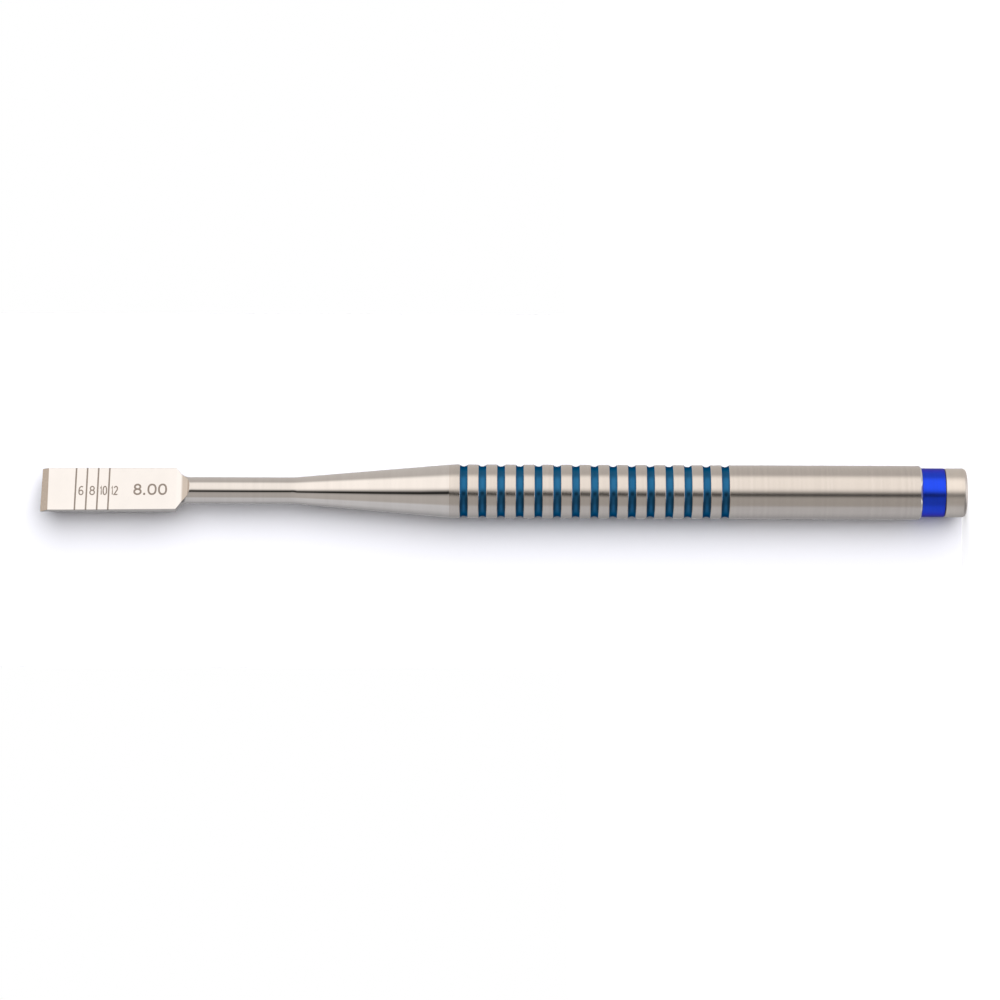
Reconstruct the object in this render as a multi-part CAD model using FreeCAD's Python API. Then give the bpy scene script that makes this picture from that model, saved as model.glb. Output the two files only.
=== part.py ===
import FreeCAD, Part
import math
import os

# A surgical chisel with a flat blade, a slim round shank and a grooved round handle.
# Its round handle rolls, so it stands on the flat of its struck end, with the edge on top.
# +Z runs from the struck end to the cutting edge, and the bevelled face looks along -Y.
# Sizes are in millimetres. A station is a distance from the cutting edge along the axis.

# Blade, turned as a round head, then milled to a flat underside and a tapered top
blade_width = 8.0
bevel_length = 1.1
blade_top_at_bevel = 0.45
blade_top_at_shoulder = 0.9
blade_underside = 0.5
shoulder_station = 24.1
shoulder_angle_deg = 50.0
shoulder_fillet = 2.0
cutter_radius = 3.0

# Shank and taper
shank_diameter = 4.75
shank_end_station = 45.3
taper_angle_deg = 4.9
front_blend_radius = 14.0
rear_blend_radius = 24.0

# Handle and its ring grooves
handle_diameter = 9.65
first_groove_station = 75.8
groove_count = 15
groove_pitch = 3.35
groove_width = 1.5
groove_depth = 0.3
handle_end_station = 157.9
handle_end_chamfer = 0.2

# Coloured ring, held between the handle and the striking cap
ring_diameter = 8.8
ring_length = 4.2
ring_edge_break = 0.15

# Striking cap, with the stem that holds it in the handle
cap_diameter = 8.8
cap_length = 3.9
cap_edge_radius = 0.7
cap_seat_break = 0.15
stem_diameter = 5.0
stem_length_in_handle = 12.0
stem_tip_chamfer = 0.5
stem_clearance = 0.05
bore_end_room = 1.0
drill_point_deg = 118.0

# Worked out from the sizes above; the blade has its full width at the back of the bevel
head_radius = math.hypot(blade_width / 2, blade_top_at_bevel)
shank_radius = shank_diameter / 2
handle_radius = handle_diameter / 2
stem_radius = stem_diameter / 2
bore_radius = stem_radius + stem_clearance
ring_station = handle_end_station
cap_station = ring_station + ring_length
overall_length = cap_station + cap_length

# How far a cutting tool starts outside the metal, and where the cutter's arc leaves it
overrun = 1.0
cutter_lift_deg = 75.0

# Pieces are drawn along X, with the bevelled face towards +Z, and stood up at the end
x_axis = FreeCAD.Vector(1, 0, 0)
y_axis = FreeCAD.Vector(0, 1, 0)
z_axis = FreeCAD.Vector(0, 0, 1)


def at(station, height):
    """A point of a side profile: its station, and its height over the axis."""
    return FreeCAD.Vector(station, 0, height)


def line(start, end):
    return Part.LineSegment(start, end).toShape()


def arc(start, middle, end):
    """A round arc, kept as an exact spline so that what is turned from it takes fewer facets."""
    return Part.Arc(start, middle, end).toShape().toNurbs().Edges[0]


def face_inside(edges):
    return Part.Face(Part.Wire(edges))


def rounded_corner(corner, before, after, radius):
    """Start, middle and end of the arc that rounds a corner between two other corners."""
    back = (before - corner).normalize()
    ahead = (after - corner).normalize()
    half_angle = back.getAngle(ahead) / 2
    inward = (back + ahead).normalize()
    reach = radius / math.tan(half_angle)
    middle = corner + inward * (radius / math.sin(half_angle) - radius)
    return corner + back * reach, middle, corner + ahead * reach


def turned(corners):
    """A solid of revolution from its half profile: corners, or (corner, rounding radius)."""
    points = [c[0] if isinstance(c, tuple) else c for c in corners]
    edges = []
    pen = points[0]
    for index, corner in enumerate(corners[1:], start=1):
        if isinstance(corner, tuple):
            around = rounded_corner(points[index], points[index - 1], points[index + 1], corner[1])
            edges.append(line(pen, around[0]))
            edges.append(arc(*around))
            pen = around[-1]
        else:
            edges.append(line(pen, corner))
            pen = corner
    edges.append(line(pen, points[0]))
    return face_inside(edges).revolve(at(0, 0), x_axis, 360)


def turned_blank():
    """The bar as it leaves the lathe, still with a round head where the blade will be."""
    shoulder_run = (head_radius - shank_radius) / math.tan(math.radians(shoulder_angle_deg))
    taper_run = (handle_radius - shank_radius) / math.tan(math.radians(taper_angle_deg))
    return turned(
        [
            at(0, 0),
            at(0, head_radius),
            at(shoulder_station, head_radius),
            (at(shoulder_station + shoulder_run, shank_radius), shoulder_fillet),
            (at(shank_end_station, shank_radius), front_blend_radius),
            (at(shank_end_station + taper_run, handle_radius), rear_blend_radius),
            at(handle_end_station - handle_end_chamfer, handle_radius),
            at(handle_end_station, handle_radius - handle_end_chamfer),
            at(handle_end_station, 0),
        ]
    )


def milled_away(height_at_bevel, height_at_shoulder, side):
    """Metal that the cutter takes off one side: a flat that ends in the cutter's own arc."""
    slope = (height_at_shoulder - height_at_bevel) / (shoulder_station - bevel_length)
    lean = math.atan(slope)
    centre_station = shoulder_station - cutter_radius * math.sin(lean)
    centre_height = height_at_shoulder + cutter_radius * math.cos(lean)

    def on_cutter(angle):
        station = centre_station + cutter_radius * math.sin(angle)
        height = centre_height - cutter_radius * math.cos(angle)
        return at(station, side * height)

    def on_flat(station):
        return at(station, side * (height_at_shoulder - slope * (shoulder_station - station)))

    lift = math.radians(cutter_lift_deg)
    leaves = on_cutter(lift)
    outside = side * (head_radius + overrun)
    edges = [
        line(on_flat(-overrun), on_cutter(lean)),
        arc(on_cutter(lean), on_cutter((lean + lift) / 2), leaves),
        line(leaves, at(leaves.x, outside)),
        line(at(leaves.x, outside), at(-overrun, outside)),
        line(at(-overrun, outside), on_flat(-overrun)),
    ]
    return across_the_head(face_inside(edges))


def across_the_head(face):
    """A side profile carried right across the head, past both of its edges."""
    half_reach = head_radius + overrun
    face.translate(y_axis * -half_reach)
    return face.extrude(y_axis * 2 * half_reach)


def bevel_ground_away():
    """The single bevel, ground from the top face down to the edge on the underside."""
    outside = head_radius + overrun
    edge = at(0, -blade_underside)
    bevel_back = at(bevel_length, blade_top_at_bevel)
    corners = [edge, bevel_back, at(bevel_length, outside), at(-overrun, outside), at(-overrun, edge.z)]
    return across_the_head(Part.Face(Part.makePolygon(corners + [edge])))


def handle_groove(station):
    """One ring groove, as a round-nosed tool cuts it."""
    half_width = groove_width / 2
    left = at(station - half_width, handle_radius)
    right = at(station + half_width, handle_radius)
    bottom = at(station, handle_radius - groove_depth)
    above = FreeCAD.Vector(0, 0, overrun)
    edges = [
        arc(left, bottom, right),
        line(right, right + above),
        line(right + above, left + above),
        line(left + above, left),
    ]
    return face_inside(edges).revolve(at(0, 0), x_axis, 360)


def stem_bore():
    """The blind hole in the handle's rear end, with the drill's cone at its bottom."""
    bottom = handle_end_station - stem_length_in_handle - bore_end_room
    cone = bore_radius / math.tan(math.radians(drill_point_deg / 2))
    return turned(
        [
            at(bottom - cone, 0),
            at(bottom, bore_radius),
            at(handle_end_station + overrun, bore_radius),
            at(handle_end_station + overrun, 0),
        ]
    )


def chisel_body():
    """Blade, shank and handle, made from one bar."""
    body = turned_blank()
    body = body.cut(milled_away(blade_top_at_bevel, blade_top_at_shoulder, 1))
    body = body.cut(milled_away(blade_underside, blade_underside, -1))
    body = body.cut(bevel_ground_away())
    grooves = [handle_groove(first_groove_station + n * groove_pitch) for n in range(groove_count)]
    return body.cut(grooves).cut(stem_bore())


def colour_ring():
    """A plain ring over the stem, with both outer edges broken."""
    radius = ring_diameter / 2
    end = ring_station + ring_length
    outside = turned(
        [
            at(ring_station, 0),
            at(ring_station, radius - ring_edge_break),
            at(ring_station + ring_edge_break, radius),
            at(end - ring_edge_break, radius),
            at(end, radius - ring_edge_break),
            at(end, 0),
        ]
    )
    hole_start = at(ring_station - overrun, 0)
    return outside.cut(Part.makeCylinder(bore_radius, ring_length + 2 * overrun, hole_start, x_axis))


def striking_cap():
    """A flat-ended cap with a round rear edge; its stem runs through the ring into the handle."""
    radius = cap_diameter / 2
    stem_start = handle_end_station - stem_length_in_handle
    return turned(
        [
            at(stem_start, 0),
            at(stem_start, stem_radius - stem_tip_chamfer),
            at(stem_start + stem_tip_chamfer, stem_radius),
            at(cap_station, stem_radius),
            at(cap_station, radius - cap_seat_break),
            at(cap_station + cap_seat_break, radius),
            (at(overall_length, radius), cap_edge_radius),
            at(overall_length, 0),
        ]
    )


def stood_up(shape):
    """Turns a piece so that the tool stands on its struck end over the origin."""
    shape.rotate(at(0, 0), y_axis, 90)
    shape.rotate(at(0, 0), z_axis, -90)
    shape.translate(z_axis * overall_length)
    return shape


pieces = {
    "chisel_body": chisel_body(),
    "colour_ring": colour_ring(),
    "striking_cap": striking_cap(),
}

os.makedirs("parts", exist_ok=True)
for name, piece in pieces.items():
    solid = stood_up(piece).Solids[0]
    solid.exportStep(f"parts/{name}.step")
    print(name, "solids", len(piece.Solids), "valid", piece.isValid(), "volume", round(piece.Volume, 2))
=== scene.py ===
import math

import bmesh
import bpy
from mathutils import Matrix, Vector


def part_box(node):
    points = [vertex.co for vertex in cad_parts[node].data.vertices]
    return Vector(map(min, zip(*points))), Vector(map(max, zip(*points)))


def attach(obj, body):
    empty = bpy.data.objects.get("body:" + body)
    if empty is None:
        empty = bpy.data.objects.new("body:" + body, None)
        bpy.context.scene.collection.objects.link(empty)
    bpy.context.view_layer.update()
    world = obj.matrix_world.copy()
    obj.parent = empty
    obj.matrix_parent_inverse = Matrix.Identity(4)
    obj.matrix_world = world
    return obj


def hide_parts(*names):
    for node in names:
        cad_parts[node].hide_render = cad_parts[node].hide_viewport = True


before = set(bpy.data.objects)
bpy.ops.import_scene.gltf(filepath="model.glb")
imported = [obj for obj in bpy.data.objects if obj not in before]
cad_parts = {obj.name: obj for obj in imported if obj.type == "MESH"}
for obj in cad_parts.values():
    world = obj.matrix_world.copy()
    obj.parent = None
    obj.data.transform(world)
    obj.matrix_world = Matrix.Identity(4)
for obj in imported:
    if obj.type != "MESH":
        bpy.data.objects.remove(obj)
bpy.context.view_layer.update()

# A surgical chisel standing on its struck end. Its round handle would roll if it lay down.
# Blender works in metres. The dictionaries hold millimetres, and a station is a
# distance from the cutting edge, down along the tool's axis.
bodyLow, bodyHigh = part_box("chisel_body")
ringLow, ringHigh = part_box("colour_ring")
capLow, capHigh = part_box("striking_cap")

mm = 0.001
tip = Vector((0, 0, bodyHigh.z))
along = Vector((0, 0, -1))  # from the cutting edge to the struck end
aside = Vector((1, 0, 0))  # across the blade, away from the side that the photo shows
front = Vector((0, -1, 0))  # out of the bevelled face
handleRadius = (bodyHigh.y - bodyLow.y) / 2 / mm
handleEnd = (tip.z - bodyLow.z) / mm
ringStart = (tip.z - ringHigh.z) / mm
ringEnd = (tip.z - ringLow.z) / mm
stemStart = (tip.z - capHigh.z) / mm
toolEnd = (tip.z - capLow.z) / mm

sideSteps = 80  # faces round half of the handle
mergeDistance = 1e-7  # metres
closeEnough = 1e-3  # millimetres
sharpAngle = 28.0  # degrees; what bends more than this stays a sharp edge


# Shared mesh helpers

def place(station, side, height):
    # side is across the blade, height is over the axis on the bevelled side
    return tip + (along * station + aside * side + front * height) * mm


def roundedProfile(corners, degreesPerStep):
    # corners are (station, radius) or (station, radius, rounding), and roundings turn into arcs
    points = []
    for index, corner in enumerate(corners):
        here = Vector(corner[:2])
        if len(corner) == 2:
            points.append(here)
            continue
        back = (Vector(corners[index - 1][:2]) - here).normalized()
        ahead = (Vector(corners[index + 1][:2]) - here).normalized()
        halfAngle = back.angle(ahead) / 2
        centre = here + (back + ahead).normalized() * corner[2] / math.sin(halfAngle)
        start = here + back * corner[2] / math.tan(halfAngle) - centre
        turn = math.pi - 2 * halfAngle
        if start.cross(back) > 0:
            turn = -turn
        steps = max(2, math.ceil(math.degrees(abs(turn)) / degreesPerStep))
        for step in range(steps + 1):
            angle = -turn * step / steps
            points.append(centre + Matrix.Rotation(-angle, 2) @ start)
    return [(p.x, p.y) for p in points]


def circleRing(station, radius):
    # starts behind the axis and comes round the shown side first, as the blade's rings do
    climb = [math.pi * (step / sideSteps - 0.5) for step in range(sideSteps + 1)]
    shown = [place(station, -radius * math.cos(a), radius * math.sin(a)) for a in climb]
    return shown + [
        place(station, radius * math.cos(a), radius * math.sin(a)) for a in reversed(climb)
    ]


def skin(bm, rings, closed=False):
    rows = [[bm.verts.new(point) for point in ring] for ring in rings]
    if closed:
        rows.append(rows[0])
    for first, second in zip(rows, rows[1:]):
        for index in range(len(first)):
            following = (index + 1) % len(first)
            bm.faces.new((first[index], first[following], second[following], second[index]))
    return rows


def cleaned(bm):
    bmesh.ops.remove_doubles(bm, verts=bm.verts, dist=mergeDistance)
    bmesh.ops.dissolve_degenerate(bm, edges=bm.edges, dist=mergeDistance)
    bmesh.ops.recalc_face_normals(bm, faces=bm.faces)


def meshObject(name, bm):
    mesh = bpy.data.meshes.new(name)
    bm.to_mesh(mesh)
    bm.free()
    made = bpy.data.objects.new(name, mesh)
    bpy.context.scene.collection.objects.link(made)
    return made


def bakedMesh(holder):
    # the mesh that the holder's modifiers make
    evaluated = holder.evaluated_get(bpy.context.evaluated_depsgraph_get())
    return bpy.data.meshes.new_from_object(evaluated)


def shadeSmooth(piece):
    piece.data.polygons.foreach_set("use_smooth", [True] * len(piece.data.polygons))
    piece.data.set_sharp_from_angle(angle=math.radians(sharpAngle))


def turnedPiece(name, profile, metal):
    bm = bmesh.new()
    skin(bm, [circleRing(station, radius) for station, radius in profile], closed=True)
    cleaned(bm)
    piece = meshObject(name, bm)
    piece.data.materials.append(metal)
    shadeSmooth(piece)
    return piece


def finishPiece(piece, slot, *nodes):
    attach(piece, "root")
    if nodes:
        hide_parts(*nodes)


def triangles(piece):
    return sum(len(polygon.vertices) - 2 for polygon in piece.data.polygons)


# Shared node helpers

streakSlant = 0.6  # keeps the slow change of the streaks from lying along one side
fineDetail = 2.0
broadDetail = 3.0
noiseRange = (0.3, 0.7)  # where most of a noise lies
quarterTurn = 0.25  # turns the gloss so that it spreads across the lathe marks
mixFirst, mixSecond, mixResult = 6, 7, 2  # the places of a colour mix's sockets


def linear(hexColour):
    # the standard curve from screen colours to light
    channels = [int(hexColour[i:i + 2], 16) / 255 for i in (1, 3, 5)]
    light = [c / 12.92 if c <= 0.04045 else ((c + 0.055) / 1.055) ** 2.4 for c in channels]
    return (*light, 1.0)


def addNode(tree, kind, inputs=(), **settings):
    # inputs go by name, or by place in a list; a node among them stands for its first output
    made = tree.nodes.new(kind)
    for name, value in settings.items():
        setattr(made, name, value)
    for socket, value in inputs.items() if isinstance(inputs, dict) else enumerate(inputs):
        if isinstance(value, bpy.types.Node):
            value = value.outputs[0]
        if isinstance(value, bpy.types.NodeSocket):
            tree.links.new(value, made.inputs[socket])
        else:
            made.inputs[socket].default_value = value
    return made


def startMaterial(name):
    material = bpy.data.materials.new(name)
    material.use_nodes = True
    material.node_tree.nodes.clear()
    return material, material.node_tree


def fromAxis(tree, parts):
    # how far a point, split into its coordinates, lies from the tool's axis
    across = addNode(tree, "ShaderNodeCombineXYZ", [parts.outputs["X"], parts.outputs["Y"]])
    return addNode(tree, "ShaderNodeVectorMath", [across], operation="LENGTH").outputs["Value"]


def turnedCoordinates(tree, mmAlong, mmAround):
    # lathe marks: fine along the axis and along the radius, long round the axis
    where = addNode(tree, "ShaderNodeTexCoord").outputs["Object"]
    parts = addNode(tree, "ShaderNodeSeparateXYZ", [where])
    x, y, z = parts.outputs
    slanted = addNode(tree, "ShaderNodeMath", [x, streakSlant, y], operation="MULTIPLY_ADD")
    joined = addNode(tree, "ShaderNodeCombineXYZ", [z, fromAxis(tree, parts), slanted])
    scale = (1 / (mmAlong * mm), 1 / (mmAlong * mm), 1 / (mmAround * mm))
    return addNode(tree, "ShaderNodeMapping", {"Vector": joined, "Scale": scale})


def turnedMetal(name, look):
    # any metal that was turned: streaks that run round the axis, in tint, gloss and relief
    material, tree = startMaterial(name)

    def streaks(size, length, detail):
        where = turnedCoordinates(tree, size, length)
        inputs = {"Vector": where, "Scale": 1.0, "Detail": detail}
        return addNode(tree, "ShaderNodeTexNoise", inputs)

    fine = streaks(look["fineStreak"], look["streakLength"], fineDetail)
    broad = streaks(look["broadStreak"], look["streakLength"] * 2, broadDetail)
    dark, light = linear(look["darkTint"]), linear(look["lightTint"])
    share = addNode(tree, "ShaderNodeMapRange", [broad, *noiseRange, 0.0, 1.0])
    tint = addNode(
        tree, "ShaderNodeMix", {0: share, mixFirst: dark, mixSecond: light}, data_type="RGBA"
    )
    middle, spread = look["roughness"], look["roughnessSpread"]
    relief = addNode(
        tree, "ShaderNodeBump",
        {"Height": fine, "Distance": look["streakDepth"] * mm, "Strength": look["reliefStrength"]},
    )
    inputs = {
        "Base Color": tint.outputs[mixResult],
        "Metallic": 1.0,
        "Roughness": addNode(
            tree, "ShaderNodeMapRange", [broad, *noiseRange, middle - spread, middle + spread]
        ),
        "Normal": relief,
        "Anisotropic": look["anisotropy"],
        "Anisotropic Rotation": quarterTurn,
        "Coat Weight": look.get("oxideGloss", 0.0),
        "Coat Roughness": look["roughness"],
        "Specular Tint": linear(look.get("edgeTint", "#FFFFFF")),
    }
    if look["anisotropy"] > 0:
        inputs["Tangent"] = addNode(
            tree, "ShaderNodeTangent", direction_type="RADIAL", axis="Z"
        )
    shader = addNode(tree, "ShaderNodeBsdfPrincipled", inputs)
    addNode(tree, "ShaderNodeOutputMaterial", {"Surface": shader})
    return material


# Camera: a long lens, level with the tool's middle and rolled so that the edge is at the left

cameraLook = {
    "turn": 70.0,  # degrees from the blade's shown side towards its face
    "distance": 717.7,
    "roll": 0.20,  # degrees beyond the quarter turn
    "pixelsPerMm": 5.5607,
    "imageWidth": 1000,
    "sensor": 36.0,
    "lookStation": 82.314,
    "axisAboveCentre": 8.70,  # pixels
    "clipStart": 10.0,
    "clipEnd": 20000.0,
}


def viewAxes(look):
    turn = math.radians(look["turn"])
    back = front * math.sin(turn) - aside * math.cos(turn)
    up = front * math.cos(turn) + aside * math.sin(turn)
    return back, up


def makeCamera(look):
    back, up = viewAxes(look)
    lowered = up * look["axisAboveCentre"] / look["pixelsPerMm"] * mm
    target = place(look["lookStation"], 0, 0) - lowered
    roll = math.radians(look["roll"])
    turnedRight = along * math.cos(roll) + up * math.sin(roll)
    turnedUp = up * math.cos(roll) - along * math.sin(roll)
    data = bpy.data.cameras.new("camera")
    data.sensor_width = look["sensor"]
    data.lens = look["sensor"] * look["pixelsPerMm"] * look["distance"] / look["imageWidth"]
    data.clip_start = look["clipStart"] * mm
    data.clip_end = look["clipEnd"] * mm
    camera = bpy.data.objects.new("camera", data)
    camera.matrix_world = Matrix((turnedRight, turnedUp, back)).transposed().to_4x4()
    camera.location = target + back * look["distance"] * mm
    bpy.context.scene.collection.objects.link(camera)
    bpy.context.scene.camera = camera


makeCamera(cameraLook)
print("camera ready")


# Studio: walls of plain light all round, a pale glowing floor with a painted contact shadow, a
# pale card behind the tool and a soft sun

studio = {
    # brightness of the walls, by degrees round the tool: from straight in front of the blade's
    # face towards the shown side, with the table beyond 80
    "walls": [
        (-180, 0.42), (-150, 0.62), (-115, 0.68), (-75, 0.64), (-63, 0.62), (-56, 0.76),
        (-48, 1.12), (-40, 1.28), (0, 1.26), (6, 1.18), (11, 1.02), (16, 0.76), (20, 0.48),
        (25, 0.18), (28, 0.03), (35, 0.02), (39, 0.26), (44, 0.48), (52, 0.53), (80, 0.52),
        (90, 0.73), (120, 0.70), (145, 0.54), (165, 0.40), (180, 0.42),
    ],
    "warmWall": "#FFFBF8",
    "coolWall": "#F7F9FF",
    "coolFrom": 80,
    "coolBehind": 170,
    # fractions below say how far a direction leans along the tool, 1 being its very axis, and
    # are negative towards the edge
    "tipGlow": 1.12,  # the soft box is brighter towards the tool's edge
    "tipGlowStart": -0.02,
    "tipGlowFull": -0.20,
    "gapMiddle": 28.0,  # degrees; the dark gap isn't quite parallel to the tool
    "gapSkew": 55.0,
    "gapSkewFull": 8.0,  # degrees from the gap's middle
    "gapSkewNone": 24.0,
    "gapSkewUntil": 0.10,
    "gapSkewGone": 0.20,
    "endWarm": "#FFF3E8",
    "endCool": "#F8F9FF",
    "endBlend": 0.10,
    "tipWall": 0.95,
    "struckWall": 0.75,
    "endStart": 0.60,  # the walls give way to the end walls between these two
    "endFull": 0.80,
    "lowEnds": 0.20,  # the ends are darker near the table
    "lowEndStart": 0.25,
    "lowEndFull": 0.50,
    "lowFrom": 28.0,  # degrees
    "lowFull": 55.0,
    "lowUntil": 142.0,  # from here on the table lights them again
    "lowGone": 160.0,
    "struckGlint": 1.30,
    "glintStart": 0.88,
    "glintFull": 0.95,
    "backdrop": "#FFFFFF",
    "paperRoughness": 0.9,
    "cardBehind": 5.0,
    "cardLength": 200.0,
    "cardHeight": 64.0,
    "cardColour": "#EDEDF3",
    "sunStrength": 4.5,
    "sunAngle": 72.0,
    "sunTilt": 26.0,  # degrees from straight behind the camera, towards the top of the picture
    "sunTurn": 8.0,  # degrees towards the struck end
    "floorColour": "#F4F4F6",
    "floorGlow": 1.10,
    "floorSize": 8000.0,
    # the floor's painted contact shadow: how far it reaches, how dark it is and which way it leans
    "contactReach": 20.0,  # how far round its foot the tool shades the floor
    "contactDepth": 0.6,
    "contactTilt": 1.5,  # leans the shade away from the side that the light comes from
}


def makeWalls(look):
    # what the metal mirrors, all along the tool: a soft box, a thin dark gap and grey walls
    world = bpy.data.worlds.new("studioWalls")
    world.use_nodes = True
    bpy.context.scene.world = world
    tree = world.node_tree
    tree.nodes.clear()
    direction = addNode(tree, "ShaderNodeTexCoord").outputs["Generated"]
    leans = [
        addNode(tree, "ShaderNodeVectorMath", [direction, axis], operation="DOT_PRODUCT")
        for axis in (along, -aside, front)
    ]
    lengthwise, towardsShown, towardsFront = [lean.outputs["Value"] for lean in leans]
    steepness = addNode(tree, "ShaderNodeMath", [lengthwise], operation="ABSOLUTE")
    angle = addNode(tree, "ShaderNodeMath", [towardsShown, towardsFront], operation="ARCTAN2")

    # the walls, with the gap's slant worked into the angle
    gapMiddle = math.radians(look["gapMiddle"])
    pastGap = addNode(tree, "ShaderNodeMath", [angle, gapMiddle], operation="SUBTRACT")
    fromGap = addNode(tree, "ShaderNodeMath", [pastGap], operation="ABSOLUTE")
    inGap = addNode(tree, "ShaderNodeMapRange", [
        fromGap, math.radians(look["gapSkewFull"]), math.radians(look["gapSkewNone"]), 1.0, 0.0,
    ])
    nearSquare = addNode(tree, "ShaderNodeMapRange", [
        steepness, look["gapSkewUntil"], look["gapSkewGone"], 1.0, 0.0,
    ])
    slant = addNode(tree, "ShaderNodeMath", [lengthwise, nearSquare], operation="MULTIPLY")
    skew = addNode(tree, "ShaderNodeMath", [inGap, slant], operation="MULTIPLY")
    turned = addNode(
        tree, "ShaderNodeMath", [skew, -math.radians(look["gapSkew"]), angle],
        operation="MULTIPLY_ADD",
    )
    share = addNode(tree, "ShaderNodeMapRange", [turned, -math.pi, math.pi, 0.0, 1.0])
    ramp = addNode(tree, "ShaderNodeValToRGB", [share])
    stops = ramp.color_ramp.elements
    while len(stops) < len(look["walls"]):
        stops.new(0.5)
    brightest = max(level for _, level in look["walls"])
    for stop, (degrees, level) in zip(stops, look["walls"]):
        isCool = abs(degrees) > look["coolBehind"] or degrees > look["coolFrom"]
        tint = linear(look["coolWall"] if isCool else look["warmWall"])
        stop.position = (degrees + 180) / 360
        stop.color = [level / brightest * channel for channel in tint[:3]] + [1.0]
    glow = addNode(tree, "ShaderNodeMapRange", [
        lengthwise, look["tipGlowFull"], look["tipGlowStart"], look["tipGlow"], 1.0,
    ])
    strength = addNode(tree, "ShaderNodeMath", [glow, brightest], operation="MULTIPLY")
    walls = addNode(tree, "ShaderNodeBackground", [ramp, strength])

    # the end walls, above the edge and below the struck end
    lowBegins = addNode(tree, "ShaderNodeMapRange", [
        angle, math.radians(look["lowFrom"]), math.radians(look["lowFull"]), 0.0, 1.0,
    ])
    lowStops = addNode(tree, "ShaderNodeMapRange", [
        angle, math.radians(look["lowUntil"]), math.radians(look["lowGone"]), 1.0, 0.0,
    ])
    low = addNode(tree, "ShaderNodeMath", [lowBegins, lowStops], operation="MULTIPLY")
    startsAt = addNode(tree, "ShaderNodeMapRange", [
        low, 0.0, 1.0, look["endStart"], look["lowEndStart"],
    ])
    fullAt = addNode(tree, "ShaderNodeMapRange", [
        low, 0.0, 1.0, look["endFull"], look["lowEndFull"],
    ])
    nearEnds = addNode(tree, "ShaderNodeMapRange", [steepness, startsAt, fullAt, 0.0, 1.0])
    blend = look["endBlend"]
    highLevel = addNode(tree, "ShaderNodeMapRange", [
        lengthwise, -blend, blend, look["tipWall"], look["struckWall"],
    ])
    endLevel = addNode(tree, "ShaderNodeMapRange", [low, 0.0, 1.0, highLevel, look["lowEnds"]])
    struck = addNode(tree, "ShaderNodeMapRange", [
        lengthwise, look["glintStart"], look["glintFull"], endLevel, look["struckGlint"],
    ])
    atStruckEnd = addNode(tree, "ShaderNodeMapRange", [lengthwise, -blend, blend, 0.0, 1.0])
    warm, cool = linear(look["endWarm"]), linear(look["endCool"])
    endTint = addNode(
        tree, "ShaderNodeMix", {0: atStruckEnd, mixFirst: warm, mixSecond: cool}, data_type="RGBA"
    )
    ends = addNode(tree, "ShaderNodeBackground", [endTint.outputs[mixResult], struck])
    mirrored = addNode(tree, "ShaderNodeMixShader", [nearEnds, walls, ends])

    # the camera itself sees a plain backdrop
    seen = addNode(tree, "ShaderNodeLightPath").outputs["Is Camera Ray"]
    plain = addNode(tree, "ShaderNodeBackground", [linear(look["backdrop"])])
    surface = addNode(tree, "ShaderNodeMixShader", [seen, mirrored, plain])
    addNode(tree, "ShaderNodeOutputWorld", {"Surface": surface})
    world.cycles_visibility.diffuse = False  # the soft sun alone lights the floor and the card


def paintedContactShadow(tree, glow):
    # painted contact shadow: the floor's own glow, dimmed by ambient occlusion round the tool's
    # foot, on the side where the card's shadow ends
    _, up = viewAxes(cameraLook)
    towardsLight = (up * studio["contactTilt"] - along).normalized()
    facing = addNode(tree, "ShaderNodeCombineXYZ", [*towardsLight])
    openness = addNode(
        tree, "ShaderNodeAmbientOcclusion",
        {"Distance": studio["contactReach"] * mm, "Normal": facing},
    ).outputs["AO"]
    shade = addNode(tree, "ShaderNodeMath", [openness, studio["contactDepth"]], operation="POWER")
    return addNode(tree, "ShaderNodeMath", [shade, glow], operation="MULTIPLY")


def paleSheet(name, corners, colour, glow=0.0, oneSided=False):
    # the metal mirrors the walls alone, as it does over a clear table, so no sheet shows in it
    bm = bmesh.new()
    bm.faces.new([bm.verts.new(corner) for corner in corners])
    sheet = meshObject(name, bm)
    paper, tree = startMaterial(name + "Paper")
    inputs = {
        "Base Color": linear(colour),
        "Roughness": studio["paperRoughness"],
        "Specular IOR Level": 0.0,
        "Emission Color": linear(colour),
        # the floor's glow carries the painted contact shadow
        "Emission Strength": paintedContactShadow(tree, glow) if glow else 0.0,
    }
    surface = addNode(tree, "ShaderNodeBsdfPrincipled", inputs)
    if oneSided:
        # seen from behind it is clear, so that it never hides the tool
        clear = addNode(tree, "ShaderNodeBsdfTransparent")
        rear = addNode(tree, "ShaderNodeNewGeometry").outputs["Backfacing"]
        surface = addNode(tree, "ShaderNodeMixShader", [rear, surface, clear])
    addNode(tree, "ShaderNodeOutputMaterial", {"Surface": surface})
    sheet.data.materials.append(paper)
    sheet.visible_glossy = False
    sheet.visible_diffuse = False
    sheet.visible_shadow = False


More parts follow.
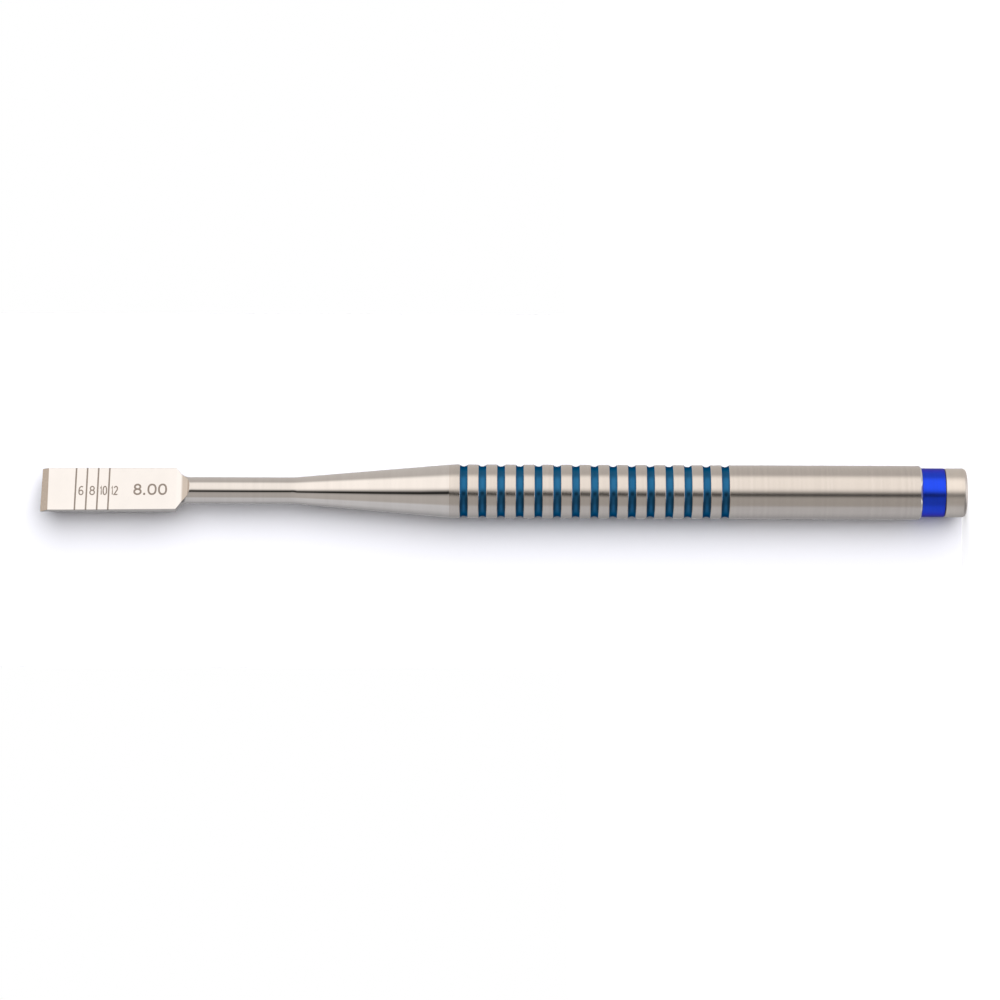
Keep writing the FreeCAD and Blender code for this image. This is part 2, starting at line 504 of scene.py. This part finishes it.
def makeStage(look):
    half = look["floorSize"] / 2 * mm
    turns = ((-1, -1), (1, -1), (1, 1), (-1, 1))
    corners = [(x * half, y * half, 0) for x, y in turns]
    # the floor glows by itself, with a painted contact shadow round the tool's foot
    paleSheet("floor", corners, look["floorColour"], glow=look["floorGlow"])

    # the card stands where the table is in the photo's view, and takes the soft shadow
    back, up = viewAxes(cameraLook)
    middle = place(cameraLook["lookStation"], 0, 0) - back * look["cardBehind"] * mm
    wide, high = look["cardLength"] / 2 * mm, look["cardHeight"] / 2 * mm
    corners = [middle + along * x * wide + up * y * high for x, y in turns]
    paleSheet("card", corners, look["cardColour"], oneSided=True)

    sun = bpy.data.lights.new("softSun", "SUN")
    sun.energy = look["sunStrength"]
    sun.angle = math.radians(look["sunAngle"])
    lamp = bpy.data.objects.new("softSun", sun)
    tilt, turn = math.radians(look["sunTilt"]), math.radians(look["sunTurn"])
    towardsSun = back + up * math.tan(tilt) + along * math.tan(turn)
    lamp.rotation_euler = towardsSun.to_track_quat("Z", "Y").to_euler()
    lamp.visible_glossy = False
    bpy.context.scene.collection.objects.link(lamp)


bpy.context.scene.view_settings.view_transform = "Standard"
makeWalls(studio)
makeStage(studio)
print("studio ready")


# Body: blade, shank, taper and grooved handle from one bar

body = {
    "bladeWidth": 8.0,
    "shoulder": 24.1,
    "shoulderAngle": 50.0,
    "shoulderRounding": 2.0,
    "shankRadius": 2.375,
    "shankEnd": 45.3,
    "taperAngle": 4.9,
    "frontBlend": 14.0,
    "rearBlend": 24.0,
    "bevelLength": 1.1,
    "topAtBevel": 0.45,
    "topAtShoulder": 0.9,
    "underside": 0.5,
    "cutterRadius": 3.0,
    "edgeBreak": 0.04,
    "edgeNear": 0.29,  # ground by hand: the edge's near corner stands a little more forward
    "edgeFar": 0.11,
    "edgeFlare": 0.18,  # and its far corner stands a little outward
    "bevelSlope": 0.3,  # how far a face has to look out of the blade to be part of the bevel
    "flatSlope": 0.9,  # the same for the blade's flat
    "paintedBrightUntil": 25.2,  # the blade's flat and the foot of its run-out get the lighter steel, a painted brighter reflection
    "polishEnd": 73.2,
    "endChamfer": 0.3,  # reflects the struck end's glint, and gets the lighter steel as a painted glint, so that it shows as a white line beside the ring
    "boreRadius": 2.55,
    "boreDepth": 13.0,
    "drillPoint": 118.0,
    "faceSteps": 12,
    "bevelSteps": 4,
    "flatSteps": 10,
    "cutterAngles": range(3, 36, 3),  # degrees round the cutter's arc
    "climbAngles": range(20, 91, 5),  # degrees up the shank, to its very top
    "plainStations": [28.0, 32.0, 38.0, 50.0, 56.0, 62.0, 68.0],
    "searchShare": 0.999,  # of the cutter's radius
    "searchSteps": 50,
    "stationDigits": 5,
}
headRadius = math.hypot(body["bladeWidth"] / 2, body["topAtBevel"])
groove = {
    "first": 75.8,
    "count": 15,
    "pitch": 3.35,
    "wallAngle": 46.0,
    "lipRadius": 0.15,
    "lipStart": 0.82,  # from the groove's middle to where its lip starts to turn down
    "coatHalfWidth": 0.69,
    "lipSteps": 4,
    "coatSteps": 6,
}


def faceSlope():
    return (body["topAtShoulder"] - body["topAtBevel"]) / (body["shoulder"] - body["bevelLength"])


def topOfBlade(station):
    # bevel, then the slightly rising face, then the cutter's arc; None where nothing was milled
    if station <= body["bevelLength"]:
        rise = body["topAtBevel"] + body["underside"]
        return -body["underside"] + rise * station / body["bevelLength"]
    slope, cutter = faceSlope(), body["cutterRadius"]
    if station <= body["shoulder"]:
        return body["topAtShoulder"] - slope * (body["shoulder"] - station)
    lean = math.atan(slope)
    run = station - (body["shoulder"] - cutter * math.sin(lean))
    if run >= cutter:
        return None
    centreHeight = body["topAtShoulder"] + cutter * math.cos(lean)
    return centreHeight - math.sqrt(cutter ** 2 - run ** 2)


def underBlade(station):
    # the flat underside lies square to the cutter, so its arc starts right at the shoulder
    cutter = body["cutterRadius"]
    run = max(0.0, station - body["shoulder"])
    if run >= cutter:
        return None
    return body["underside"] + cutter - math.sqrt(cutter ** 2 - run ** 2)


def climbStations(depthAt):
    # stations where the milled flat's edge has climbed the round shank by each of the angles
    found = []
    for degrees in body["climbAngles"]:
        height = body["shankRadius"] * math.sin(math.radians(degrees))
        low = body["shoulder"]
        high = low + body["cutterRadius"] * body["searchShare"]
        for _ in range(body["searchSteps"]):
            middle = (low + high) / 2
            low, high = (middle, high) if depthAt(middle) < height else (low, middle)
        found.append(high)
    return found


def bladeRing(station, radius):
    top, under = topOfBlade(station), underBlade(station)
    top = radius if top is None else min(top, radius)
    under = radius if under is None else min(under, radius)
    topHalf = math.sqrt(max(0.0, radius ** 2 - top ** 2))
    underHalf = math.sqrt(max(0.0, radius ** 2 - under ** 2))
    cut = max(0.0, min(body["edgeBreak"], (top + under) / 4, topHalf / 4, underHalf / 4))
    high = math.asin(min(1.0, (top - cut) / radius)) if topHalf > 0 else math.pi / 2
    low = -math.asin(min(1.0, (under - cut) / radius)) if underHalf > 0 else -math.pi / 2
    climb = [low + (high - low) * step / sideSteps for step in range(sideSteps + 1)]
    cross = [2 * step / body["faceSteps"] - 1 for step in range(body["faceSteps"] + 1)]
    outline = [(-radius * math.cos(a), radius * math.sin(a)) for a in climb]
    outline += [(share * (topHalf - cut), top) for share in cross]
    outline += [(radius * math.cos(a), radius * math.sin(a)) for a in reversed(climb)]
    outline += [(-share * (underHalf - cut), -under) for share in cross]
    toEdge = max(0.0, 1 - station / body["bevelLength"])
    middle = (body["edgeNear"] + body["edgeFar"]) / 2
    slant = (body["edgeNear"] - body["edgeFar"]) / 2
    flare = body["edgeFlare"] * toEdge / headRadius
    return [
        place(station - toEdge * (middle - slant * y / headRadius), y + flare * max(0.0, y), z)
        for y, z in outline
    ]


def frontRings():
    bevel, shoulder, shankRadius = body["bevelLength"], body["shoulder"], body["shankRadius"]
    shoulderRun = (headRadius - shankRadius) / math.tan(math.radians(body["shoulderAngle"]))
    taperRun = (handleRadius - shankRadius) / math.tan(math.radians(body["taperAngle"]))
    grooveStart = groove["first"] - groove["pitch"] / 2
    profile = roundedProfile([
        (0, headRadius),
        (shoulder, headRadius),
        (shoulder + shoulderRun, shankRadius, body["shoulderRounding"]),
        (body["shankEnd"], shankRadius, body["frontBlend"]),
        (body["shankEnd"] + taperRun, handleRadius, body["rearBlend"]),
        (grooveStart, handleRadius),
    ], degreesPerStep=2.5)

    def radiusAt(station):
        for (s0, r0), (s1, r1) in zip(profile, profile[1:]):
            if s0 <= station <= s1:
                return r0 + (r1 - r0) * (station - s0) / (s1 - s0)
        return profile[-1][1]

    bevelSteps, flatSteps, cutter = body["bevelSteps"], body["flatSteps"], body["cutterRadius"]
    stations = [station for station, _ in profile]
    stations += [bevel * step / bevelSteps for step in range(bevelSteps + 1)]
    stations += [bevel + (shoulder - bevel) * step / flatSteps for step in range(flatSteps + 1)]
    stations += [shoulder + cutter * math.sin(math.radians(a)) for a in body["cutterAngles"]]
    stations += climbStations(topOfBlade) + climbStations(underBlade)
    stations += body["plainStations"] + [body["paintedBrightUntil"], body["polishEnd"]]
    distinct = {round(station, body["stationDigits"]) for station in stations}
    return [bladeRing(station, radiusAt(station)) for station in sorted(distinct)]


def rearRings():
    start = groove["first"] + (groove["count"] - 0.5) * groove["pitch"]
    boreEnd = handleEnd - body["boreDepth"]
    point = body["boreRadius"] / math.tan(math.radians(body["drillPoint"] / 2))
    profile = [
        (start, handleRadius),
        (handleEnd - body["endChamfer"], handleRadius),
        (handleEnd, handleRadius - body["endChamfer"]),
        (handleEnd, body["boreRadius"]),
        (boreEnd, body["boreRadius"]),
        (boreEnd - point, 0),
    ]
    return [circleRing(station, radius) for station, radius in profile]


def grooveProfile():
    # land, rounded lip, round-nosed groove, and the same again, from one land's middle to the next
    wall = math.radians(groove["wallAngle"])
    lip, lipStart, lipSteps = groove["lipRadius"], groove["lipStart"], groove["lipSteps"]
    lipMiddle = handleRadius - lip
    noseRadius = (lipStart - lip * math.sin(wall)) / math.sin(wall)
    noseHeight = lipMiddle + lip * math.cos(wall) + noseRadius * math.cos(wall)
    coatEdge = math.asin(groove["coatHalfWidth"] / noseRadius)
    half = [(groove["pitch"] / 2, handleRadius)]
    for step in range(lipSteps + 1):
        turn = wall * step / lipSteps
        half.append((lipStart - lip * math.sin(turn), lipMiddle + lip * math.cos(turn)))
    for step in range(groove["coatSteps"] + 1):
        turn = coatEdge * (1 - step / groove["coatSteps"])
        half.append((noseRadius * math.sin(turn), noseHeight - noseRadius * math.cos(turn)))
    coatRadius = noseHeight - noseRadius * math.cos(coatEdge)
    return [(-s, r) for s, r in half] + [(s, r) for s, r in reversed(half[:-1])], coatRadius


def bakeNodeTree(name, wanted, build):
    # an empty holder runs a node tree with these named inputs, and is baked to a plain mesh
    tree = bpy.data.node_groups.new(name, "GeometryNodeTree")
    sockets = {
        label: tree.interface.new_socket(label, in_out="INPUT", socket_type=kind)
        for label, (kind, _) in wanted.items()
    }
    tree.interface.new_socket("Geometry", in_out="OUTPUT", socket_type="NodeSocketGeometry")
    given = addNode(tree, "NodeGroupInput").outputs
    addNode(tree, "NodeGroupOutput", {"Geometry": build(tree, given)})
    holder = meshObject(name + "Holder", bmesh.new())
    modifier = holder.modifiers.new(name, "NODES")
    modifier.node_group = tree
    for label, (_, value) in wanted.items():
        modifier[sockets[label].identifier] = value
    mesh = bakedMesh(holder)
    bpy.data.objects.remove(holder)
    return mesh


def copiesInRow(tree, given, start, direction):
    # the given shape at each point of a straight row, a pitch apart
    step = addNode(
        tree, "ShaderNodeVectorMath", {0: direction, "Scale": given["Pitch"]}, operation="SCALE"
    )
    row = addNode(
        tree, "GeometryNodeMeshLine",
        {"Count": given["Count"], "Start Location": start, "Offset": step},
    )
    shape = addNode(tree, "GeometryNodeObjectInfo", {"Object": given["Shape"]})
    copies = addNode(
        tree, "GeometryNodeInstanceOnPoints",
        {"Points": row, "Instance": shape.outputs["Geometry"]},
    )
    return addNode(tree, "GeometryNodeRealizeInstances", {"Geometry": copies})


def groovePattern(steel, coat):
    # one groove with its two half lands, set along the handle by a node tree
    profile, coatRadius = grooveProfile()
    bm = bmesh.new()
    skin(bm, [[point - tip for point in circleRing(*corner)] for corner in profile])
    bmesh.ops.remove_doubles(bm, verts=bm.verts, dist=mergeDistance)
    one = meshObject("oneGroove", bm)

    def build(tree, given):
        start = addNode(tree, "ShaderNodeCombineXYZ", {"Z": given["First Height"]})
        merged = addNode(
            tree, "GeometryNodeMergeByDistance",
            {"Geometry": copiesInRow(tree, given, start, along), "Distance": mergeDistance},
        )
        where = addNode(tree, "GeometryNodeInputPosition")
        radius = fromAxis(tree, addNode(tree, "ShaderNodeSeparateXYZ", [where]))
        inside = addNode(
            tree, "FunctionNodeCompare", [radius, given["Coat Radius"]], operation="LESS_THAN"
        )
        bare = addNode(tree, "GeometryNodeSetMaterial", {"Geometry": merged, "Material": steel})
        return addNode(
            tree, "GeometryNodeSetMaterial",
            {"Geometry": bare, "Selection": inside, "Material": coat},
        )

    mesh = bakeNodeTree("handleGrooves", {
        "Shape": ("NodeSocketObject", one),
        "Count": ("NodeSocketInt", groove["count"]),
        "First Height": ("NodeSocketFloat", tip.z - groove["first"] * mm),
        "Pitch": ("NodeSocketFloat", groove["pitch"] * mm),
        "Coat Radius": ("NodeSocketFloat", coatRadius * mm),
    }, build)
    bpy.data.objects.remove(one)
    return mesh


def makeBody(metals):
    slotOf = {name: index for index, name in enumerate(metals)}
    bm = bmesh.new()
    skin(bm, frontRings())
    skin(bm, rearRings())
    bmesh.ops.remove_doubles(bm, verts=bm.verts, dist=mergeDistance)
    bmesh.ops.recalc_face_normals(bm, faces=bm.faces)
    for face in bm.faces:
        station = (face.calc_center_median() - tip).dot(along) / mm
        outward = face.normal.dot(front)
        finish = "satin" if station > body["polishEnd"] else "mirror"
        if station < body["bevelLength"] and outward > body["bevelSlope"]:
            finish = "ground"
        # the lighter steel on the blade's flat is a painted highlight
        elif station < body["paintedBrightUntil"] and outward > body["flatSlope"]:
            finish = "bright"
        # and on the handle's end chamfer it is a painted glint
        elif handleEnd - body["endChamfer"] < station < handleEnd - closeEnough:
            finish = "bright"
        face.material_index = slotOf[finish]
    grooves = groovePattern(metals["satin"], metals["coat"])
    for polygon in grooves.polygons:
        isCoat = grooves.materials[polygon.material_index] == metals["coat"]
        polygon.material_index = slotOf["coat" if isCoat else "satin"]
    bm.from_mesh(grooves)
    cleaned(bm)
    piece = meshObject("chiselBody", bm)
    for metal in metals.values():
        piece.data.materials.append(metal)
    shadeSmooth(piece)
    return piece


# Sizes of the streaks are in millimetres
beltMarks = {
    "fineStreak": 0.30, "broadStreak": 0.60, "streakLength": 12.0,
    "streakDepth": 0.0001, "reliefStrength": 0.02,
}
polishedLook = {
    # mirror-polished martensitic stainless: it shows the studio almost sharply, a little warm
    "darkTint": "#D3CDC7", "lightTint": "#D8D2CC", "roughness": 0.035, "roughnessSpread": 0.006,
    "fineStreak": 0.25, "broadStreak": 1.6, "streakLength": 5.0,
    "streakDepth": 0.0001, "reliefStrength": 0.15, "anisotropy": 0.0,
}
satinLook = {
    # satin-turned stainless: fine rings from the belt soften what it reflects along the axis
    "darkTint": "#CDC5BD", "lightTint": "#D2CAC2", "roughness": 0.25, "roughnessSpread": 0.006,
    **beltMarks, "anisotropy": 0.85,
}
groundLook = {
    # bevel fresh from a fine wheel: grey-tan, dull, with streaks along the edge
    "darkTint": "#BAB3AB", "lightTint": "#C3BCB4", "roughness": 0.26, "roughnessSpread": 0.01,
    "fineStreak": 0.10, "broadStreak": 0.40, "streakLength": 6.0,
    "streakDepth": 0.0003, "reliefStrength": 0.1, "anisotropy": 0.0,
}
coatLook = {
    # blue hard coating over the turned groove: a satin metallic blue, greyer where seen edge-on
    "darkTint": "#22608A", "lightTint": "#2D6A93", "roughness": 0.32, "roughnessSpread": 0.02,
    **beltMarks, "streakLength": 9.0, "anisotropy": 0.85, "edgeTint": "#8CA0B4",
}
paintedBrightLook = {
    # the same mirror-polished steel with a lighter tint: painted highlight on the blade's flat and
    # painted glint on the handle's end chamfer
    "darkTint": "#DBD7D3", "lightTint": "#DEDAD6", "roughness": 0.04, "roughnessSpread": 0.004,
    "fineStreak": 0.25, "broadStreak": 3.0, "streakLength": 8.0,
    "streakDepth": 0.0001, "reliefStrength": 0.1, "anisotropy": 0.0,
}

chiselBody = makeBody({
    "mirror": turnedMetal("mirrorPolishedStainless", polishedLook),
    "satin": turnedMetal("satinTurnedStainless", satinLook),
    "ground": turnedMetal("groundBevelStainless", groundLook),
    "coat": turnedMetal("blueHardCoating", coatLook),
    "bright": turnedMetal("paintedBrightStainless", paintedBrightLook),
})
finishPiece(chiselBody, "stainless_steel", "chisel_body")
print("body ready, triangles", triangles(chiselBody))


# Marks: depth lines across the blade, their numbers in millimetres and the blade's width

marks = {
    "first": 6.02,
    "count": 4,
    "pitch": 2.0,
    "slant": 0.013,  # the lines aren't quite square to the blade
    "lineWidth": 0.29,
    "overEdge": 0.12,
    "proud": 0.008,  # a skin of oxide, kept thick enough to show
    "sunk": 0.03,
    "lineNumbers": {
        "height": 1.78,
        "stroke": 0.23,
        "middle": -0.34,
        "signs": [  # each with where it starts and how wide it is
            ("6", 6.56, 0.94), ("8", 8.52, 1.04), ("1", 10.40, 0.39), ("0", 10.90, 0.84),
            ("1", 12.43, 0.36), ("2", 12.89, 0.83),
        ],
    },
    "widthNumber": {
        "height": 2.18,
        "stroke": 0.34,
        "middle": -0.15,
        "signs": [
            ("8", 16.44, 1.52), (".", 18.20, 0.44), ("0", 18.98, 1.66), ("0", 20.88, 1.63),
        ],
    },
    "curveSteps": 36,
    "squareness": 2.3,  # 2 would be an ellipse
    "sharpestTurn": 0.5,  # keeps a stroke from growing too wide at a sharp corner
    "oxide": {
        # laser-annealed mark: a thin brown-grey oxide on the steel, dull beside the polish
        "colour": "#83786F", "metallic": 0.6, "roughness": 0.55,
    },
}


def bow(middle, reach, fromDegrees=0.0, toDegrees=360.0, squareness=2.0):
    # part of an ellipse, or of a squarer oval, as points in a sign's own box of 1 by 1
    steps = max(4, round(marks["curveSteps"] * abs(toDegrees - fromDegrees) / 360))
    points = []
    for step in range(steps + 1):
        angle = math.radians(fromDegrees + (toDegrees - fromDegrees) * step / steps)
        across, up = math.cos(angle), math.sin(angle)
        points.append((
            middle[0] + reach[0] * math.copysign(abs(across) ** (2 / squareness), across),
            middle[1] + reach[1] * math.copysign(abs(up) ** (2 / squareness), up),
        ))
    return points


def signStrokes(sign):
    # centre lines of a plain sign, drawn once with a pen; a closed line ends where it starts
    if sign == "0":
        return [bow((0.5, 0.5), (0.5, 0.5), squareness=marks["squareness"])]
    if sign == "1":
        return [[(0.0, 0.76), (1.0, 1.0), (1.0, 0.0)]]
    if sign == "2":
        return [bow((0.48, 0.72), (0.46, 0.28), 165, -28) + [(0.0, 0.0), (1.0, 0.0)]]
    if sign == "6":
        return [
            bow((0.5, 0.27), (0.5, 0.27)),
            [(0.0, 0.27)] + bow((0.62, 0.50), (0.62, 0.50), 180, 58),
        ]
    if sign == "8":
        return [bow((0.5, 0.265), (0.5, 0.265)), bow((0.5, 0.765), (0.42, 0.235))]
    return []


def onFace(point, lift):
    return place(point.x, point.y, topOfBlade(point.x) + lift)


def strokeSolid(line, width):
    # a thin ribbon round a centre line given in station and side, sunk a little into the steel
    points = [Vector(point) for point in line]
    closed = (points[0] - points[-1]).length < closeEnough
    if closed:
        points.pop()
    rings = []
    for index, point in enumerate(points):
        before = point - points[index - 1]
        after = points[(index + 1) % len(points)] - point
        comes = after if index == 0 and not closed else before
        goes = before if index + 1 == len(points) and not closed else after
        middle = (comes.normalized() + goes.normalized()).normalized()
        reach = width / 2 / max(marks["sharpestTurn"], middle.dot(comes.normalized()))
        left = Vector((-middle.y, middle.x)) * reach
        rings.append([
            onFace(point + left, marks["proud"]), onFace(point - left, marks["proud"]),
            onFace(point - left, -marks["sunk"]), onFace(point + left, -marks["sunk"]),
        ])
    bm = bmesh.new()
    rows = skin(bm, rings, closed=closed)
    if not closed:
        bm.faces.new(rows[0])
        bm.faces.new(rows[-1])
    cleaned(bm)
    return meshObject("stroke", bm)


def signMesh(sign, start, wide, text):
    # every stroke becomes a ribbon, and the ribbons of one sign are joined into a single solid
    stroke, high = text["stroke"], text["height"]
    bottom = text["middle"] - high / 2
    if sign == ".":
        radius = wide / 2
        dot = bow((start + radius, bottom + radius), (radius / 2, radius / 2))
        ribbons = [strokeSolid(dot, radius)]
    else:
        left, low = start + stroke / 2, bottom + stroke / 2
        across, up = wide - stroke, high - stroke
        ribbons = [
            strokeSolid([(left + x * across, low + y * up) for x, y in line], stroke)
            for line in signStrokes(sign)
        ]
    first = ribbons[0]
    for other in ribbons[1:]:
        joint = first.modifiers.new("join", "BOOLEAN")
        joint.operation = "UNION"
        joint.solver = "EXACT"
        joint.object = other
    mesh = bakedMesh(first)
    for ribbon in ribbons:
        bpy.data.objects.remove(ribbon)
    return mesh


def makeNumerals(oxide):
    bm = bmesh.new()
    for text in (marks["lineNumbers"], marks["widthNumber"]):
        for sign, start, wide in text["signs"]:
            bm.from_mesh(signMesh(sign, start, wide, text))
    cleaned(bm)
    piece = meshObject("markNumerals", bm)
    piece.data.materials.append(oxide)
    return piece


def lineRing(station):
    # the line goes across the face and a little way down over both of its edges
    top = topOfBlade(station)
    proud, sunk = marks["proud"], marks["sunk"]
    low = top - marks["overEdge"]

    def sideAt(height):
        return math.sqrt(headRadius ** 2 - height ** 2)

    outside = [
        (sideAt(low) + proud, low),
        (sideAt(top) + proud, top - body["edgeBreak"]),
        (sideAt(top) - body["edgeBreak"], top + proud),
    ]
    inside = [(sideAt(low) - sunk, low), (sideAt(top) - 2 * sunk, top - sunk)]
    outline = outside + [(-y, z) for y, z in reversed(outside)]
    outline += [(-y, z) for y, z in inside] + inside[::-1]
    return [place(station + marks["slant"] * y, y, z) for y, z in outline]


def makeDepthLines(oxide):
    bm = bmesh.new()
    half = marks["lineWidth"] / 2
    rows = skin(bm, [lineRing(marks["first"] - half), lineRing(marks["first"] + half)])
    bm.faces.new(rows[0])
    bm.faces.new(rows[-1])
    bmesh.ops.recalc_face_normals(bm, faces=bm.faces)
    one = meshObject("oneLine", bm)

    def build(tree, given):
        lines = copiesInRow(tree, given, (0, 0, 0), given["Along Face"])
        return addNode(tree, "GeometryNodeSetMaterial", {"Geometry": lines, "Material": oxide})

    mesh = bakeNodeTree("depthLines", {
        "Shape": ("NodeSocketObject", one),
        "Count": ("NodeSocketInt", marks["count"]),
        "Along Face": ("NodeSocketVector", along + front * faceSlope()),
        "Pitch": ("NodeSocketFloat", marks["pitch"] * mm),
    }, build)
    bpy.data.objects.remove(one)
    piece = bpy.data.objects.new("depthMarks", mesh)
    bpy.context.scene.collection.objects.link(piece)
    return piece


def annealedOxide(name, look):
    material, tree = startMaterial(name)
    shader = addNode(tree, "ShaderNodeBsdfPrincipled", {
        "Base Color": linear(look["colour"]),
        "Metallic": look["metallic"],
        "Roughness": look["roughness"],
    })
    addNode(tree, "ShaderNodeOutputMaterial", {"Surface": shader})
    return material


oxideMark = annealedOxide("laserAnnealedMark", marks["oxide"])
depthMarks = makeDepthLines(oxideMark)
finishPiece(depthMarks, "stainless_steel")
markNumerals = makeNumerals(oxideMark)
finishPiece(markNumerals, "stainless_steel")
print("marks ready, triangles", triangles(markNumerals))


# Ring: blue anodised, clamped between the handle and the cap

ring = {
    "radius": 4.4,
    "edgeRounding": 0.15,
    "boreRadius": 2.55,
    "anodised": {
        # anodised aluminium: a deep dyed blue under a clear oxide that adds its own plain gloss
        "darkTint": "#003FDF", "lightTint": "#0042E9",
        "roughness": 0.32, "roughnessSpread": 0.015,
        "fineStreak": 0.12, "broadStreak": 0.5, "streakLength": 12.0,
        "streakDepth": 0.0003, "reliefStrength": 0.1,
        "anisotropy": 0.75, "oxideGloss": 0.5, "edgeTint": "#5060A0",
    },
}
colourRing = turnedPiece("colourRing", roundedProfile([
    (ringStart, ring["boreRadius"]),
    (ringStart, ring["radius"], ring["edgeRounding"]),
    (ringEnd, ring["radius"], ring["edgeRounding"]),
    (ringEnd, ring["boreRadius"]),
], degreesPerStep=18), turnedMetal("blueAnodisedAluminium", ring["anodised"]))
finishPiece(colourRing, "blue_anodised_aluminium", "colour_ring")
print("ring ready")


# Cap: bare steel, struck on its flat end, with the stem that holds it in the handle

cap = {
    "radius": 4.4,
    "edgeRounding": 0.7,
    "jointWidth": 0.10,  # a shallow relief in front leaves a thin dark joint beside the ring
    "jointRadius": 3.7,
    "seatRounding": 0.08,
    "stemRadius": 2.5,
    "stemChamfer": 0.5,
    "satin": {
        # satin-turned stainless again, but brighter and duller in gloss than the handle
        "darkTint": "#DAD1C7", "lightTint": "#E0D7CD",
        "roughness": 0.36, "roughnessSpread": 0.015, **beltMarks, "anisotropy": 0.62,
    },
}
strikingCap = turnedPiece("strikingCap", roundedProfile([
    (stemStart, 0),
    (stemStart, cap["stemRadius"] - cap["stemChamfer"]),
    (stemStart + cap["stemChamfer"], cap["stemRadius"]),
    (ringEnd, cap["stemRadius"]),
    (ringEnd, cap["jointRadius"]),
    (ringEnd + cap["jointWidth"], cap["jointRadius"]),
    (ringEnd + cap["jointWidth"], cap["radius"], cap["seatRounding"]),
    (toolEnd, cap["radius"], cap["edgeRounding"]),
    (toolEnd, 0),
], degreesPerStep=9), turnedMetal("satinTurnedCapSteel", cap["satin"]))
finishPiece(strikingCap, "cap_steel", "striking_cap")
print("cap ready")
